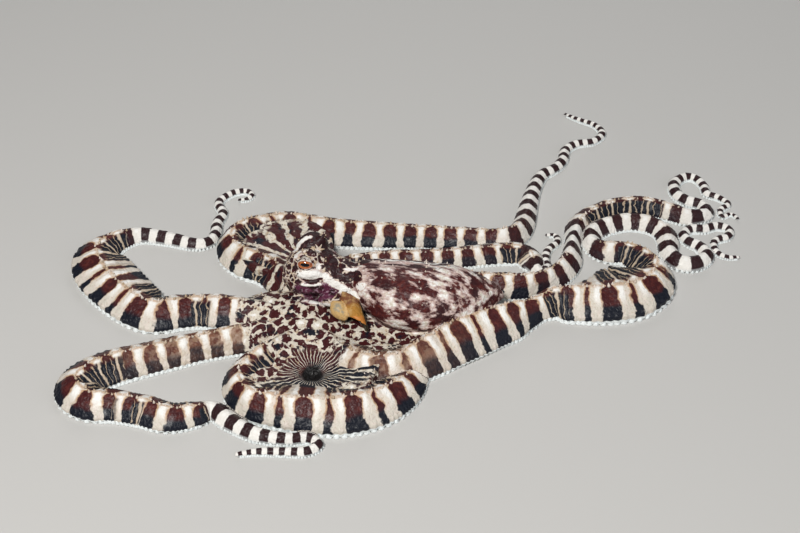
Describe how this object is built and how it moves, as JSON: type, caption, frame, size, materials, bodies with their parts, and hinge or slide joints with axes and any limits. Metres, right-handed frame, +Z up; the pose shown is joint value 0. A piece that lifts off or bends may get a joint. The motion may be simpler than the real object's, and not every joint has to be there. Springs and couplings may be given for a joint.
{
  "type": "mimic octopus",
  "caption": "Life-size still model of a mimic octopus at rest: ovoid mantle, raised eyes, open siphon, banded arms in loose loops",
  "frame": {"origin": "middle of the underside of the whole model's box, on the floor it rests on", "axes": "+Z up; +X from the head towards the tip of the mantle, along the widest spread of the arms; +Y to the animal's right side"},
  "size_m": [0.2306, 0.1795, 0.0251],
  "materials": {
    "skin": "moist satin, maroon and cream bands",
    "funnel_skin": "moist satin, golden brown",
    "eye": "wet gloss"
  },
  "bodies": {
    "root": {"arm_l1_1": "skin", "arm_l1_2": "skin", "arm_l1_3": "skin", "arm_l1_4": "skin", "arm_l1_5": "skin", "arm_l2_1": "skin", "arm_l2_2": "skin", "arm_l2_3": "skin", "arm_l2_4": "skin", "arm_l2_5": "skin", "arm_l2_6": "skin", "arm_l3_1": "skin", "arm_l3_2": "skin", "arm_l3_3": "skin", "arm_l3_4": "skin", "arm_l3_5": "skin", "arm_l4_1": "skin", "arm_l4_10": "skin", "arm_l4_2": "skin", "arm_l4_3": "skin", "arm_l4_4": "skin", "arm_l4_5": "skin", "arm_l4_6": "skin", "arm_l4_7": "skin", "arm_l4_8": "skin", "arm_l4_9": "skin", "arm_r1_1": "skin", "arm_r1_2": "skin", "arm_r1_3": "skin", "arm_r1_4": "skin", "arm_r1_5": "skin", "arm_r1_6": "skin", "arm_r1_7": "skin", "arm_r2_1": "skin", "arm_r2_2": "skin", "arm_r2_3": "skin", "arm_r2_4": "skin", "arm_r3_1": "skin", "arm_r3_2": "skin", "arm_r3_3": "skin", "arm_r3_4": "skin", "arm_r3_5": "skin", "arm_r3_6": "skin", "arm_r3_7": "skin", "arm_r3_8": "skin", "arm_r4_1": "skin", "arm_r4_2": "skin", "eye_left": "eye", "eye_right": "eye", "funnel": "funnel_skin", "head": "skin", "mantle": "skin", "web": "skin"}
  },
  "joints": []
}
